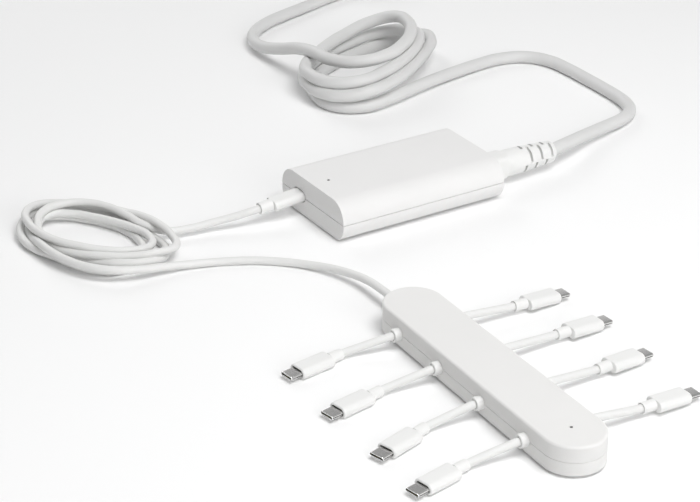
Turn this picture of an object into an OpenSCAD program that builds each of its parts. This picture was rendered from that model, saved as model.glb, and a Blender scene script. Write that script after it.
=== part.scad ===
// Multi port USB charger: a long hub with eight short captive USB-C cables, a power lead with a
// loose coil, a flat power adapter and its mains cord.
// Millimetres, +Z up. X runs along the hub, towards the end with the status light, and the
// origin is on the surface under the middle of the hub.

/* [Hub] */
// Length of the hub over its round ends
hub_length = 169; // [164:1:200]
// Width of the hub, also the width of its half-round ends
hub_width = 31.6; // [30:0.2:36]
// Height of the hub's top face above the surface
hub_height = 16.6; // [16:0.2:20]
// Height of the joint between the two covers
hub_seam = 8.4; // [8:0.1:9]
// Side wall of both covers
hub_wall = 2; // [1.6:0.1:2.4]
// Thickness of the hub's top and floor
hub_skin = 1.8; // [1.4:0.1:2.2]
// Rounding of the hub's top edge
hub_edge = 0.8; // [0.4:0.1:1.2]
// Chamfer of the hub's bottom edge
hub_chamfer = 0.6; // [0.3:0.1:1]
// Width and depth of the groove that shows at a joint
seam_groove = 0.35; // [0.2:0.05:0.5]
// Distance from the hub's end to the status light
light_inset = 17.5; // [16:0.5:20]
// Diameter of the small hole over a status light
light_hole = 1.3; // [1:0.1:1.8]
// Thickness of a circuit board
board_thickness = 1.6; // [1.2:0.1:2]
// Diameter of a rubber foot
foot_diameter = 9; // [8:0.5:11]
// Height that a foot stands out of the floor
foot_height = 0.5; // [0.4:0.1:0.8]
// Shank diameter of a housing screw
screw_diameter = 2; // [1.8:0.1:2.2]

/* [Captive cables] */
// Mean distance from the hub's ends to the outer captive cables
port_margin = 29; // [27:0.5:31]
// Height of the captive cables' axis at the hub's side
port_height = 7.9; // [7.6:0.1:8.4]
// Diameter of a captive cable
pigtail_diameter = 4.2; // [3.6:0.1:4.6]
// Diameter of the collar at the hub's side
collar_diameter = 6.8; // [6.4:0.1:8]
// Length of the collar outside the hub
collar_length = 3.8; // [3:0.1:5]

/* [USB-C plugs] */
// Width of a plug's moulded body
plug_width = 11.2; // [10.6:0.1:12.4]
// Thickness of a plug's moulded body
plug_thickness = 5.8; // [5.4:0.1:6.2]
// Length of a plug's moulded body
plug_length = 19.5; // [17:0.5:22]
// Diameter of the round neck behind the body
neck_diameter = 5.7; // [5.4:0.1:5.8]
// Length of the round neck
neck_length = 7.7; // [6:0.1:9]

/* [Power lead] */
// Diameter of the power lead
lead_diameter = 4.8; // [4.2:0.1:5]
// Diameter of the lead's collar at the hub's end
lead_collar_diameter = 8; // [7.4:0.1:9]
// Length of the lead's collar outside the hub
lead_collar_length = 3; // [2.4:0.1:4]
// Diameter of the neck of the lead's plug
lead_neck_diameter = 6.8; // [6.4:0.1:7.2]

/* [Power adapter] */
// Length of the adapter
adapter_length = 105.6; // [104:0.4:130]
// Width of the adapter
adapter_width = 65.2; // [64:0.4:80]
// Height of the adapter
adapter_height = 23.6; // [23.2:0.2:28]
// Height of the adapter's joint
adapter_seam = 11.8; // [11.6:0.1:12.6]
// Radius of the adapter's upper long edges
adapter_round_top = 11.6; // [9:0.2:11.6]
// Radius of the adapter's lower long edges
adapter_round_bottom = 10.4; // [6:0.2:11.4]
// Wall of the adapter's covers
adapter_wall = 2.2; // [1.8:0.1:2.4]
// How far the USB-C socket sits off the adapter's middle
socket_offset = 13.4; // [10:0.2:16]
// How far the mains inlet sits off the adapter's middle
inlet_offset = 11.6; // [9:0.2:14]
// Height of the mains inlet's axis
inlet_height = 11.2; // [11:0.1:12]
// Distance from the adapter's end face to its status light
adapter_light_place = 10.4; // [9:0.2:16]

/* [Mains cord] */
// Diameter of the mains cord
mains_diameter = 7.8; // [7:0.1:8]
// Width of the connector's block
block_width = 13.6; // [13:0.2:15]
// Height of the connector's block
block_height = 14.6; // [14:0.2:15.4]
// Length of the connector outside the adapter
connector_length = 48; // [46:0.5:56]
// Diameter of the strain relief where it leaves the block
relief_diameter = 13.8; // [13:0.1:14.6]
// Diameter of the strain relief's free end
relief_end_diameter = 12; // [11:0.1:12.6]
// Body width of the mains plug
mains_plug_width = 26; // [24:0.5:30]

/* [Hidden] */
$fn = 48;
clear = 0.15;
snug = 0.05;

ports_per_side = 4;
port_shift = -1.2;
port_pitch = (hub_length - 2 * port_margin) / (ports_per_side - 1);
port_x = [for (i = [0:ports_per_side - 1]) port_shift + (i - (ports_per_side - 1) / 2) * port_pitch];

hub_floor = foot_height;
hub_half = hub_width / 2;
hub_end = hub_length / 2;
end_centre = hub_end - hub_half;
light_place = hub_end - light_inset;
cavity_floor = hub_floor + hub_skin;
cavity_top = hub_height - hub_skin;
lip_height = 1.2;
lip_wall = hub_wall * 0.45;
screw_x = [-hub_end + 7.8, 0, hub_end - 7.8];
screw_head = 3.8;
screw_head_height = 1.4;
screw_length = 8;
head_seat = cavity_floor + 0.5;
boss_diameter = screw_diameter + 4;
board_rest = cavity_floor + 2.3;
board_top = board_rest + board_thickness;
board_length = 2 * (end_centre + 2);
board_width = hub_width - 10;
chip_size = 5;
chip_height = 1;
chip_row = board_width * 0.23;
part_shift = 8;
part_row = board_width / 4;
inductor_size = 6.8;
inductor_height = 4.2;
capacitor_diameter = 6.3;
capacitor_height = 5.4;
end_boss_top = board_top;
foot_recess = 0.6;

collar_recess = 1;
collar_neck = pigtail_diameter + 1.6;
collar_flange = collar_diameter + 0.6;
flange_thickness = 1.4;
port_mouth = hub_half + collar_length - collar_recess;
lead_height = 8.6;
lead_neck = lead_diameter + 1.4;

shell_width = 8.25;
shell_thickness = 2.4;
shell_length = 6.65;
shell_wall = 0.3;
shell_root = 3;
neck_recess = 0.8;
body_round = 0.9;

// How each captive cable lies: how far the back of its plug's neck is from its collar along the hub
// and out from the hub's side, that point's height, the plug's heading about Z, and its dip.
plug_lies = [
    [-4.7, 30.2, 2.95, -170, 0],
    [-2.1, 31.2, 2.95, -168, 0],
    [-0.7, 29.8, 2.95, -162, 0],
    [-2.1, 30.2, 2.95, -167, 0],
    [-0.5, 36.2, 5, 4, 3.5],
    [-2.9, 38.4, 5, 5, 3.5],
    [-2.1, 36.1, 5, 7, 3.5],
    [0.3, 33, 5, 3.5, 3.5]
];
plug_places = [
    for (n = [0:len(plug_lies) - 1])
        let (lie = plug_lies[n], side = n < ports_per_side ? -1 : 1)
            [port_x[n % ports_per_side] + lie[0], side * (hub_half + lie[1]), lie[2], lie[3], lie[4]]
];

// The adapter lies behind the hub, turned a little.
adapter_place = [-200.7, 66.6, 0];
adapter_turn = 2.2;
adapter_half = adapter_width / 2;
adapter_end = adapter_length / 2;
adapter_board_rest = 8.1;
adapter_board_top = adapter_board_rest + board_thickness;
socket_thickness = 4.2;
socket_height = adapter_board_top + socket_thickness / 2 + 0.02;
socket_recess = 1.5;
plug_seat = 1.3;
lead_dip = 4.5;
inlet_depth = 14;
inlet_pin = 2;
inlet_pins = [[0, 3.2], [-3, -2], [3, -2]];
smoothing_diameter = 10;
smoothing_length = 16;
nose_width = block_width - 2.6;
nose_height = block_height - 2.6;
nose_length = 11;
inlet_wall = 1.6;
block_length = 14.5;
relief_start = 18;
slot_first = 25.2;
slot_pitch = 3.75;
slot_rows = 6;
slot_width = 1.2;
slot_depth = 2.4;
connector_recess = 1;

// Where the power lead lies: hub end to loose coil, then coil to adapter plug.
lead_route = [
    [-hub_end - lead_collar_length + 1, 0, lead_height],
    [-92, 0, 8.5], [-100, 0, 8.1], [-113, 0, 7], [-126.5, -2, 5.5], [-139, -6.5, 4.1], [-150.5, -13.5, 3.1],
    [-160.5, -22.5, 2.5], [-169, -33, 2.4], [-175.5, -45, 2.4], [-180, -57.5, 2.5], [-183, -70.5, 3.3],
    [-184.2, -84, 4.8], [-186, -97, 6.5], [-190, -109, 7.5]
];
lead_coil_centre = [-235, -102, 0];
lead_coil_turn = 12;
lead_coil_length = 98;
lead_coil_width = 65;
lead_coil_band = 14;
lead_coil_height = 14.3;
lead_tail = [
    [-241, -78.5, 10], [-229, -73.5, 8], [-220, -64, 6], [-217, -51, 5.2], [-215, -38, 6], [-212.5, -25, 8]
];

// Where the mains cord lies: connector to loose coil, loose coil to stowed coil, and on to its plug.
mains_route = [
    [-195, 176, 11], [-199, 184.5, 10.2], [-203, 193, 9], [-207, 201, 7.8], [-211, 210, 6.4],
    [-215, 219, 5.4], [-218.5, 228, 4.6], [-221.5, 237, 4], [-225.5, 246, 4], [-233, 254, 4],
    [-243, 258, 4], [-256, 259.5, 4], [-270, 260, 4], [-287, 260.5, 4], [-304, 260, 4],
    [-319, 256.5, 4], [-331, 248, 4], [-337.5, 235, 4], [-339, 219, 4], [-336.5, 203, 4.2],
    [-332.5, 186, 4.6], [-328, 169, 4.9], [-322.5, 151, 5], [-317, 133, 5]
];
mains_coil_centre = [-363, 145, 0];
mains_coil_turn = 126;
mains_coil_length = 130;
mains_coil_width = 73;
mains_coil_band = 17;
mains_coil_height = 33;
mains_link = [
    [-330, 137, 27.5], [-333, 121, 26.6], [-347, 110, 24.6], [-366, 107.5, 23.4], [-384, 106.5, 19.5],
    [-402, 104.5, 13.6], [-420, 102, 8.6], [-438, 103.5, 5.8], [-455, 112, 4.8], [-467, 126.5, 4.4],
    [-475, 144, 4.2], [-481.5, 162, 4], [-488, 179.5, 4], [-492, 193, 4.3], [-494, 206, 4.8], [-497, 218, 4.8]
];
stowed_centre = [-541, 220, 0];
stowed_radius = 42;
stowed_band = 2 * mains_diameter;
tie_thickness = 0.8;
tie_width = 14;
tie_turn = 190;
stowed_low = tie_thickness + 0.1;
stowed_top = stowed_low + mains_diameter;
mains_plug_height = 24;
mains_plug_body = 22;
mains_plug_relief = 24;
blade_spacing = 12.7;
blade_width = 6.3;
blade_thickness = 1.5;
blade_length = 16.5;
earth_diameter = 4.8;
earth_length = 16;
earth_drop = 10.6;
mains_plug_axis = stowed_top + tie_thickness + 0.2 + mains_plug_height / 2;
mains_plug_turn = 60;
mains_plug_back = [-520, 235.6, mains_plug_axis];
mains_tail = [
    [-520, 184, 4.8], [-511, 191.5, 8.5], [-506, 203, 13], [-505.5, 215, 17.5],
    [-510, 226, 20.5], [-518, 234.2, mains_plug_axis]
];

white = [0.93, 0.93, 0.92];
soft_white = [0.9, 0.9, 0.89];
grey = [0.35, 0.35, 0.36];
green = [0.1, 0.36, 0.2];
steel = [0.75, 0.76, 0.78];
brass = [0.8, 0.66, 0.35];

function unit(v) = v / norm(v);
function heading(turn) = [-sin(turn), cos(turn), 0];

// Bezier curve from a to b, leaving along da and arriving along db.
function bend(a, da, b, db, reach, steps) = [
    for (i = [0:steps])
        let (t = i / steps, p = a + da * reach, q = b - db * reach)
            pow(1 - t, 3) * a + 3 * t * pow(1 - t, 2) * p + 3 * t * t * (1 - t) * q + pow(t, 3) * b
];

function tangent(path, i) = unit(path[min(i + 1, len(path) - 1)] - path[max(i - 1, 0)]);

function ring_points(centre, along, radius, sides) =
    let (across = unit(cross(along, [0, 0, 1])), up = cross(across, along))
        [for (k = [0:sides - 1]) centre + radius * (cos(360 * k / sides) * across + sin(360 * k / sides) * up)];

// A plain cord along a path; first and last set the direction of its two end faces.
module tube(path, diameter, sides, first = undef, last = undef) {
    count = len(path);
    way = [
        for (i = [0:count - 1])
            i == 0 && first != undef
                ? unit(first)
                : i == count - 1 && last != undef ? unit(last) : tangent(path, i)
    ];
    points = [for (i = [0:count - 1]) each ring_points(path[i], way[i], diameter / 2, sides)];
    walls = [
        for (i = [0:count - 2])
            for (k = [0:sides - 1])
                let (a = i * sides + k, b = i * sides + (k + 1) % sides)
                    each [[a, a + sides, b], [b, a + sides, b + sides]]
    ];
    start = [for (k = [0:sides - 1]) k];
    end = [for (k = [0:sides - 1]) count * sides - 1 - k];
    polyhedron(points, concat([start], walls, [end]));
}

module stadium(length, width) {
    square([length - width, width], center = true);
    for (side = [-1, 1])
        translate([side * (length - width) / 2, 0]) circle(d = width);
}

// A stadium-shaped slab of the hub's plan, set in from its outside by inset.
module hub_slab(inset, low, high) {
    translate([0, 0, low])
        linear_extrude(high - low) stadium(hub_length - 2 * inset, hub_width - 2 * inset);
}

// Half of the hub's section: a square foot with a chamfer and a rounded shoulder.
module hub_section() {
    difference() {
        union() {
            translate([0, hub_floor]) square([hub_half, hub_height - hub_edge - hub_floor]);
            translate([0, hub_floor]) square([hub_half - hub_edge, hub_height - hub_floor]);
            translate([hub_half - hub_edge, hub_height - hub_edge]) circle(hub_edge);
        }
        translate([hub_half - hub_chamfer, hub_floor]) polygon([
            [0, -0.01],
            [hub_chamfer + 1, -0.01],
            [hub_chamfer + 1, hub_chamfer + 1],
            [hub_chamfer, hub_chamfer]
        ]);
    }
}

module hub_outside() {
    rotate([90, 0, 90]) linear_extrude(2 * end_centre, center = true) {
        hub_section();
        mirror([1, 0]) hub_section();
    }
    for (side = [-1, 1])
        translate([side * end_centre, 0, 0])
            rotate([0, 0, -90 * side]) rotate_extrude(angle = 180) hub_section();
}

// Cuts for the captive cables' necks, open down to the joint for assembly.
module port_cuts(top) {
    for (x = port_x)
        for (side = [-1, 1])
            translate([x, side * (hub_half - hub_wall / 2), 0]) {
                translate([0, 0, port_height])
                    rotate([90, 0, 0]) cylinder(d = collar_neck + 2 * snug, h = 2 * hub_wall, center = true);
                if (top && port_height > hub_seam)
                    translate([-collar_neck / 2 - snug, -hub_wall, hub_seam - 1])
                        cube([collar_neck + 2 * snug, 2 * hub_wall, port_height - hub_seam + 1]);
                if (!top && port_height < hub_seam)
                    translate([-collar_neck / 2 - snug, -hub_wall, port_height])
                        cube([collar_neck + 2 * snug, 2 * hub_wall, hub_seam + lip_height + 1 - port_height]);
            }
}

module lead_cut() {
    translate([-hub_end, 0, lead_height])
        rotate([0, 90, 0]) cylinder(d = lead_neck + 2 * snug, h = 4 * hub_wall, center = true);
}

module hub_top_cover() {
    color(white) difference() {
        union() {
            difference() {
                intersection() {
                    hub_outside();
                    translate([0, 0, hub_seam + hub_height / 2])
                        cube([hub_length + 2, hub_width + 2, hub_height], center = true);
                }
                hub_slab(hub_wall, hub_seam - 1, cavity_top);
                hub_slab(hub_wall - lip_wall - clear, hub_seam - 1, hub_seam + lip_height + clear);
            }
            for (x = screw_x)
                translate([x, 0, board_top + clear])
                    cylinder(d = boss_diameter, h = cavity_top + 0.5 - board_top - clear);
            translate([light_place, 0, cavity_top - 3.4]) cylinder(d = light_hole + 4.4, h = 3.6);
            for (x = port_x)
                translate([x + 9, 0, cavity_top - 0.8])
                    translate([-0.6, -hub_half + hub_wall - 0.2, 0])
                        cube([1.2, hub_width - 2 * hub_wall + 0.4, 1]);
        }
        port_cuts(true);
        lead_cut();
        for (x = screw_x)
            translate([x, 0, board_top - 1])
                cylinder(d = screw_diameter, h = screw_length - board_top + head_seat + 1.5);
        translate([light_place, 0, cavity_top - 4]) cylinder(d = light_hole + 2 * snug, h = hub_height);
        translate([light_place, 0, cavity_top - 4]) cylinder(d = light_hole + 1.6 + 2 * clear, h = 3);
    }
}

module hub_bottom_cover() {
    color(white) difference() {
        union() {
            difference() {
                intersection() {
                    hub_outside();
                    translate([0, 0, hub_seam - hub_height / 2])
                        cube([hub_length + 2, hub_width + 2, hub_height], center = true);
                }
                hub_slab(hub_wall, cavity_floor, hub_seam + 1);
            }
            difference() {
                hub_slab(hub_wall - lip_wall, hub_seam - 1, hub_seam + lip_height);
                hub_slab(hub_wall, hub_seam - 2, hub_seam + lip_height + 1);
            }
            for (x = screw_x) {
                boss_top = abs(x) > end_centre ? end_boss_top : board_rest;
                translate([x, 0, cavity_floor - 0.5]) cylinder(d = boss_diameter, h = boss_top - cavity_floor + 0.5);
            }
            for (x = port_x)
                for (side = [-1, 1])
                    translate([x - 5, side * (board_width / 2 - 2) - 0.6, cavity_floor - 0.3])
                        cube([10, 1.2, board_rest - cavity_floor + 0.3]);
        }
        difference() {
            hub_slab(-1, hub_seam - seam_groove, hub_seam);
            hub_slab(seam_groove, hub_seam - seam_groove - 1, hub_seam + 1);
        }
        port_cuts(false);
        lead_cut();
        for (x = screw_x) {
            translate([x, 0, head_seat - 0.2]) cylinder(d = screw_diameter + 0.3, h = 20);
            translate([x, 0, -1]) cylinder(d = screw_head + 0.4, h = head_seat + 1);
            translate([x, 0, -1]) cylinder(d = foot_diameter + 2 * snug, h = hub_floor + foot_recess + 1);
        }
    }
}

module hub_circuit_board() {
    color(green) {
        difference() {
            translate([0, 0, board_rest]) linear_extrude(board_thickness) difference() {
                square([board_length, board_width], center = true);
                for (x = screw_x)
                    translate([x, 0]) circle(d = boss_diameter * 0.5);
            }
        }
        for (x = port_x)
            for (side = [-1, 1])
                translate([x, side * chip_row, board_top + chip_height / 2])
                    cube([chip_size, chip_size, chip_height], center = true);
        translate([light_place - 1, -0.6, board_top]) cube([2, 1.2, 0.8]);
    }
}

module hub_inductors() {
    color(grey) for (x = port_x)
        for (side = [-1, 1])
            translate([x + part_shift, side * part_row, board_top]) {
                translate([0, 0, inductor_height / 2])
                    cube([inductor_size, inductor_size, inductor_height], center = true);
                translate([0, 0, inductor_height]) cylinder(d = inductor_size * 0.82, h = 0.3);
            }
}

module hub_capacitors() {
    color(steel) for (x = port_x)
        for (side = [-1, 1])
            translate([x - part_shift, side * part_row, board_top]) {
                translate([0, 0, 0.5])
                    cube([capacitor_diameter + 0.3, capacitor_diameter + 0.3, 1], center = true);
                cylinder(d = capacitor_diameter, h = capacitor_height);
            }
}

module light_pipe(low, high, flange) {
    color(grey) {
        translate([0, 0, low]) cylinder(d = light_hole, h = high - low);
        translate([0, 0, low]) cylinder(d = flange, h = 1.6);
    }
}

module hub_light_pipe() {
    translate([light_place, 0, 0]) light_pipe(board_top + 1, hub_height - 0.2, light_hole + 1.6);
}

module hub_screws() {
    color(steel) for (x = screw_x)
        translate([x, 0, head_seat]) {
            cylinder(d = screw_diameter, h = screw_length);
            difference() {
                translate([0, 0, -screw_head_height]) cylinder(d = screw_head, h = screw_head_height);
                translate([0, 0, -screw_head_height - 0.1]) {
                    cube([2.2, 0.5, 1.6], center = true);
                    cube([0.5, 2.2, 1.6], center = true);
                }
            }
        }
}

module hub_feet() {
    color(grey) for (x = screw_x)
        translate([x, 0, 0]) {
            cylinder(d1 = foot_diameter - 0.6, d2 = foot_diameter, h = 0.3);
            translate([0, 0, 0.3]) cylinder(d = foot_diameter, h = hub_floor + foot_recess - 0.3);
        }
}

// A moulded collar on +Y: flange inside the wall, neck through it, round collar outside.
module collar(outer, length, neck, flange, bore) {
    difference() {
        union() {
            translate([0, 0, 0]) rotate([-90, 0, 0]) cylinder(d = outer, h = length - 0.5);
            translate([0, length - 0.5, 0]) rotate([-90, 0, 0]) cylinder(d1 = outer, d2 = outer - 1, h = 0.5);
            translate([0, -hub_wall - snug - 0.4, 0])
                rotate([-90, 0, 0]) cylinder(d = neck, h = hub_wall + snug + 0.6);
            translate([0, -hub_wall - snug - flange_thickness, 0])
                rotate([-90, 0, 0]) cylinder(d = flange, h = flange_thickness);
        }
        translate([0, length - collar_recess, 0]) rotate([-90, 0, 0]) cylinder(d = bore + 0.4, h = 2);
    }
}

module pigtail_gland(n) {
    side = n < ports_per_side ? -1 : 1;
    color(soft_white) translate([port_x[n % ports_per_side], side * hub_half, port_height])
        rotate([0, 0, side < 0 ? 180 : 0])
            collar(collar_diameter, collar_length, collar_neck, collar_flange, pigtail_diameter);
}

function plug_way(place) =
    [-sin(place[3]) * cos(place[4]), cos(place[3]) * cos(place[4]), -sin(place[4])];

function pigtail_path(n) =
    let (
        place = plug_places[n],
        side = n < ports_per_side ? -1 : 1,
        start = [port_x[n % ports_per_side], side * port_mouth, port_height],
        end = [place[0], place[1], place[2]] + neck_recess * plug_way(place)
    )
        bend(start, [0, side, 0], end, plug_way(place), 4, 5);

module pigtail_cord(n) {
    side = n < ports_per_side ? -1 : 1;
    color(soft_white) tube(pigtail_path(n), pigtail_diameter, 8, [0, side, 0], plug_way(plug_places[n]));
}

module at_plug(place) {
    translate([place[0], place[1], place[2]]) rotate([0, 0, place[3]]) rotate([-place[4], 0, 0]) children();
}

module stadium_bar(width, thickness, length) {
    rotate([-90, 0, 0]) linear_extrude(length) stadium(width, thickness);
}

// The moulded body of a plug along +Y, from the back of its neck at the origin.
module plug_body(neck, bore) {
    difference() {
        union() {
            rotate([-90, 0, 0]) cylinder(d = neck, h = neck_length + 0.5);
            translate([0, neck_length, 0]) stadium_bar(plug_width, plug_thickness, plug_length - body_round);
            translate([0, neck_length + plug_length - body_round, 0])
                stadium_bar(plug_width - 0.5, plug_thickness - 0.5, body_round / 2);
            translate([0, neck_length + plug_length - body_round / 2, 0])
                stadium_bar(plug_width - 1.3, plug_thickness - 1.3, body_round / 2);
        }
        translate([0, -1, 0]) rotate([-90, 0, 0]) cylinder(d = bore + 0.4, h = 1 + neck_recess);
        translate([0, neck_length + plug_length - shell_root, 0])
            stadium_bar(shell_width, shell_thickness, shell_root + 1);
    }
}

module plug_shell() {
    tip = neck_length + plug_length + shell_length;
    translate([0, neck_length + plug_length - shell_root, 0]) difference() {
        stadium_bar(shell_width, shell_thickness, shell_root + shell_length);
        translate([0, shell_root + 1, 0])
            stadium_bar(shell_width - 2 * shell_wall, shell_thickness - 2 * shell_wall, shell_length);
    }
    translate([0, tip - shell_length + 0.5, 0])
        rotate([-90, 0, 0]) linear_extrude(1) square([6, 1], center = true);
}

module pigtail_plug_body(n) {
    color(white) at_plug(plug_places[n]) plug_body(neck_diameter, pigtail_diameter);
}

module pigtail_plug_shell(n) {
    color(steel) at_plug(plug_places[n]) plug_shell();
}

module lead_gland() {
    color(soft_white) difference() {
        translate([-hub_end, 0, lead_height]) rotate([0, 0, 90]) {
            collar(lead_collar_diameter, lead_collar_length, lead_neck, lead_collar_diameter, lead_diameter);
            translate([0, -1.2, 0]) rotate([-90, 0, 0]) cylinder(d = lead_collar_diameter, h = 1.4);
        }
        difference() {
            hub_slab(0, 0, 20);
            hub_slab(hub_wall, -1, 21);
            lead_cut();
        }
    }
}

module at_adapter() {
    translate(adapter_place) rotate([0, 0, adapter_turn]) children();
}

// The adapter's end section, set in from its outside by inset.
module adapter_section(inset) {
    top = adapter_round_top - inset;
    bottom = adapter_round_bottom - inset;
    half = adapter_half - inset;
    intersection() {
        union() {
            translate([-half + top, inset]) square([2 * (half - top), adapter_height - 2 * inset]);
            translate([-half, adapter_seam]) square([2 * half, adapter_height - inset - top - adapter_seam]);
            for (side = [-1, 1])
                translate([side * (half - top), adapter_height - inset - top]) circle(top);
        }
        translate([-half, adapter_seam]) square([2 * half, adapter_height]);
    }
    intersection() {
        union() {
            translate([-half + bottom, inset]) square([2 * (half - bottom), adapter_height - 2 * inset]);
            translate([-half, inset + bottom]) square([2 * half, adapter_seam - inset - bottom]);
            for (side = [-1, 1])
                translate([side * (half - bottom), inset + bottom]) circle(bottom);
        }
        translate([-half, 0]) square([2 * half, adapter_seam]);
    }
}

module adapter_bar(inset, length) {
    translate([0, length / 2, 0]) rotate([90, 0, 0]) linear_extrude(length) adapter_section(inset);
}

module socket_place() {
    translate([-socket_offset, -adapter_end, socket_height]) children();
}

module inlet_place() {
    translate([inlet_offset, adapter_end, inlet_height]) children();
}

module rounded_bar(width, height, round, length) {
    rotate([-90, 0, 0]) linear_extrude(length) {
        square([width - 2 * round, height], center = true);
        square([width, height - 2 * round], center = true);
        for (x = [-1, 1])
            for (y = [-1, 1])
                translate([x * (width / 2 - round), y * (height / 2 - round)]) circle(round);
    }
}

module adapter_shell() {
    difference() {
        adapter_bar(0, adapter_length);
        adapter_bar(adapter_wall, adapter_length - 2 * adapter_wall);
        socket_place() {
            translate([0, -1, 0]) stadium_bar(plug_width + 1, plug_thickness + 1, 1 + socket_recess);
            translate([0, -1, 0]) stadium_bar(9.6, 3.8, adapter_wall + 2);
        }
        inlet_place() translate([0, -adapter_wall - 1, 0])
            rounded_bar(block_width + 2 * snug, block_height + 2 * snug, 2, adapter_wall + 2);
    }
}

module adapter_top_cover() {
    color(white) at_adapter() difference() {
        intersection() {
            adapter_shell();
            translate([0, 0, adapter_seam + 20])
                cube([adapter_width + 2, adapter_length + 2, 40], center = true);
        }
        translate([0, -adapter_end + adapter_light_place, adapter_height - 5])
            cylinder(d = light_hole + 2 * snug, h = 10);
    }
}

module adapter_bottom_cover() {
    color(white) at_adapter() {
        difference() {
            intersection() {
                adapter_shell();
                translate([0, 0, adapter_seam - 20])
                    cube([adapter_width + 2, adapter_length + 2, 40], center = true);
            }
            difference() {
                translate([0, 0, adapter_seam - seam_groove / 2])
                    cube([adapter_width + 2, adapter_length + 2, seam_groove], center = true);
                cube([adapter_width - 2 * seam_groove, adapter_length - 2 * seam_groove, 60], center = true);
            }
        }
        for (x = [-1, 1])
            for (y = [-1, 1])
                translate([x * (adapter_half - 12), y * (adapter_end - 22), adapter_wall - 0.2])
                    cylinder(d = 6, h = adapter_board_rest - adapter_wall + 0.2);
    }
}

module adapter_board() {
    color(green) at_adapter() {
        translate([-adapter_half + 8, -adapter_end + adapter_wall + 1, adapter_board_rest])
            cube([adapter_width - 16, adapter_length - 2 * adapter_wall - inlet_depth - 3, board_thickness]);
        translate([-1, -adapter_end + adapter_light_place - 0.6, adapter_board_top]) cube([2, 1.2, 0.8]);
    }
}

module adapter_transformer() {
    color(grey) at_adapter() translate([-2, 4, adapter_board_top]) {
        translate([-12, -11, 0]) cube([24, 22, 3]);
        translate([-12, -11, 7]) cube([24, 22, 3]);
        translate([0, 0, 2]) cylinder(d = 15, h = 6);
        for (side = [-1, 1])
            translate([side * 10 - 2, -11, 2]) cube([4, 22, 6]);
    }
}

module adapter_capacitors() {
    back = adapter_end - inlet_depth - smoothing_length - 4;
    color(steel) at_adapter() for (x = [-15, 15])
        translate([x, back, adapter_board_top + smoothing_diameter / 2]) {
            rotate([-90, 0, 0]) cylinder(d = smoothing_diameter, h = smoothing_length);
            translate([-3.5, 2, -smoothing_diameter / 2]) cube([7, smoothing_length - 4, 1.2]);
        }
}

module adapter_socket() {
    color(steel) at_adapter() socket_place() difference() {
        union() {
            translate([0, adapter_wall + snug, 0]) stadium_bar(9, socket_thickness, 8);
            translate([-4.5, adapter_wall + 2, -socket_thickness / 2]) cube([9, 5, socket_thickness / 2]);
        }
        rotate([lead_dip, 0, 0])
            stadium_bar(shell_width + 2 * snug, shell_thickness + 2 * snug, socket_recess + shell_length + snug);
    }
}

module adapter_light_pipe() {
    at_adapter() translate([0, -adapter_end + adapter_light_place, 0])
        light_pipe(adapter_board_top + 1, adapter_height - 0.2, light_hole + 1.6);
}

module adapter_inlet() {
    color(grey) at_adapter() inlet_place() {
        difference() {
            union() {
                translate([0, -inlet_depth, 0])
                    rounded_bar(block_width, block_height, 2, inlet_depth - 0.2);
                translate([0, -adapter_wall - snug - 1.6, 0])
                    rounded_bar(block_width + 3, block_height + 3, 2.4, 1.6);
            }
            translate([0, -nose_length - 0.4, 0])
                rounded_bar(nose_width + 2 * clear, nose_height + 2 * clear, 1.4, nose_length + 2);
        }
        for (pin = inlet_pins)
            translate([pin[0], -inlet_depth + 1, pin[1]])
                rotate([-90, 0, 0]) cylinder(d = inlet_pin, h = inlet_depth - 4);
    }
}

function slot_turn(row) = row % 2 == 0 ? 82 : -8;

module relief_slot(place, turn, radius) {
    translate([0, place, 0]) rotate([-90, turn, 0]) rotate_extrude(angle = 105)
        translate([radius - slot_depth, -slot_width / 2]) square([slot_depth + 2, slot_width]);
}

module mains_connector() {
    radius = relief_diameter / 2;
    color(white) at_adapter() inlet_place() difference() {
        union() {
            translate([0, -nose_length, 0]) rounded_bar(nose_width, nose_height, 1.4, nose_length + 0.5);
            rounded_bar(block_width, block_height, 2.4, block_length - 1.5);
            translate([0, block_length - 1.5, 0]) rounded_bar(block_width - 1, block_height - 1, 3, 1.5);
            translate([0, block_length - 1, 0])
                rotate([-90, 0, 0]) cylinder(r = radius - 0.4, h = relief_start - block_length + 1);
            translate([0, relief_start, 0])
                rotate([-90, 0, 0])
                    cylinder(r1 = radius, d2 = relief_end_diameter, h = connector_length - relief_start - 1);
            translate([0, connector_length - 1, 0])
                rotate([-90, 0, 0]) cylinder(d1 = relief_end_diameter, d2 = relief_end_diameter - 1.6, h = 1);
        }
        for (pin = inlet_pins)
            translate([pin[0], -nose_length - 1, pin[1]])
                rotate([-90, 0, 0]) cylinder(d = inlet_pin + 2 * clear, h = nose_length);
        for (row = [0:slot_rows - 1])
            for (half = [0, 180])
                relief_slot(slot_first + row * slot_pitch, slot_turn(row) + half, radius - row * 0.15);
        translate([0, connector_length - connector_recess, 0])
            rotate([-90, 0, 0]) cylinder(d = mains_diameter + 0.8, h = 2);
    }
}

function adapter_point(p) = adapter_place + [
    p[0] * cos(adapter_turn) - p[1] * sin(adapter_turn),
    p[0] * sin(adapter_turn) + p[1] * cos(adapter_turn),
    p[2]
];

lead_way = [-sin(adapter_turn) * cos(lead_dip), cos(adapter_turn) * cos(lead_dip), sin(lead_dip)];
lead_plug_back = adapter_point([-socket_offset, -adapter_end, socket_height])
    - (plug_length + neck_length - plug_seat) * lead_way;
mains_exit = adapter_point([inlet_offset, adapter_end + connector_length - connector_recess, inlet_height]);

module lead_cord() {
    color(soft_white) {
        tube(lead_route, lead_diameter, 10, [-1, 0, 0]);
        tube(
            concat(lead_tail, [lead_plug_back + neck_recess * lead_way]),
            lead_diameter, 10, undef, lead_way
        );
    }
}

// The outer shape of a loose oval coil: a ring with round ends.
module oval_coil(length, width, band, height) {
    linear_extrude(height) difference() {
        stadium(length, width);
        stadium(length - 2 * band, width - 2 * band);
    }
}

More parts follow.
